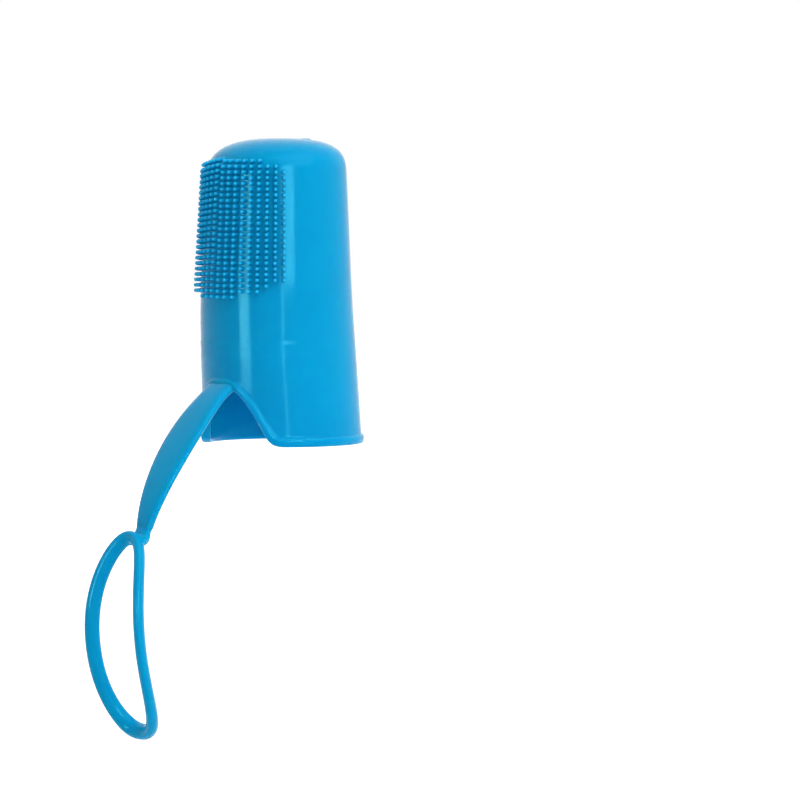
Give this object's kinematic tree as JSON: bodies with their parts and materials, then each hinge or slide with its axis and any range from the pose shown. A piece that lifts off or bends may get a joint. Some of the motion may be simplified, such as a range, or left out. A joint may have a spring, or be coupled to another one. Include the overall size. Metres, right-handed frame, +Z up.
{
  "type": "finger toothbrush",
  "caption": "Soft silicone finger sleeve with short bristles on its front, a notched mouth and a flexible strap that ends in a holding ring, for brushing a pet's teeth.",
  "frame": {"origin": "centre of the mouth, on the plane of its bottom edge", "axes": "+Z up the finger to the closed tip, -Z out of the mouth, -Y towards the bristles and the strap, X across the brush, which is the same on both sides of X = 0"},
  "size_m": [0.0294, 0.0546, 0.1057],
  "materials": {
    "silicone": "glossy translucent blue silicone"
  },
  "bodies": {
    "sleeve": {"sleeve_skirt": "silicone", "sleeve_upper": "silicone", "closed_tip": "silicone", "mould_nub": "silicone", "mouth_rim": "silicone", "notch_bead": "silicone", "bristle_row_01": "silicone", "bristle_row_02": "silicone", "bristle_row_03": "silicone", "bristle_row_04": "silicone", "bristle_row_05": "silicone", "bristle_row_06": "silicone", "bristle_row_07": "silicone", "bristle_row_08": "silicone", "bristle_row_09": "silicone", "bristle_row_10": "silicone", "bristle_row_11": "silicone", "bristle_row_12": "silicone", "bristle_row_13": "silicone", "bristle_row_14": "silicone", "bristle_row_15": "silicone", "bristle_row_16": "silicone", "bristle_row_17": "silicone", "bristle_row_18": "silicone", "bristle_row_19": "silicone", "bristle_row_20": "silicone", "bristle_row_21": "silicone", "bristle_row_22": "silicone", "bristle_row_23": "silicone", "bristle_row_24": "silicone", "bristle_row_25": "silicone", "strap_root": "silicone"},
    "strap_upper": {"strap_upper": "silicone"},
    "strap_lower": {"strap_lower": "silicone"},
    "neck": {"neck_link": "silicone"},
    "ring": {"ring_boss": "silicone", "tether_ring": "silicone"}
  },
  "joints": [
    {"name": "strap_root_bend", "type": "hinge", "parent": "sleeve", "child": "strap_upper", "pos_m": [0, -0.01615, 0.00929], "axis": [-1, 0, 0], "range_deg": [-30, 75], "stiffness_Nm_per_rad": 0.0008, "springref_deg": 8.02},
    {"name": "strap_mid_bend", "type": "hinge", "parent": "strap_upper", "child": "strap_lower", "pos_m": [0, -0.02582, -0.00132], "axis": [-1, 0, 0], "range_deg": [-25, 35], "stiffness_Nm_per_rad": 0.0006, "springref_deg": 4.87},
    {"name": "neck_bend", "type": "hinge", "parent": "strap_lower", "child": "neck", "pos_m": [0, -0.03202, -0.01263], "axis": [-1, 0, 0], "range_deg": [-35, 35], "stiffness_Nm_per_rad": 0.0003, "springref_deg": 3.55},
    {"name": "ring_twist", "type": "hinge", "parent": "neck", "child": "ring", "pos_m": [0, -0.03237, -0.0143], "axis": [0, -0.1541, -0.9881], "range_deg": [-50, 50], "stiffness_Nm_per_rad": 0.00008}
  ]
}
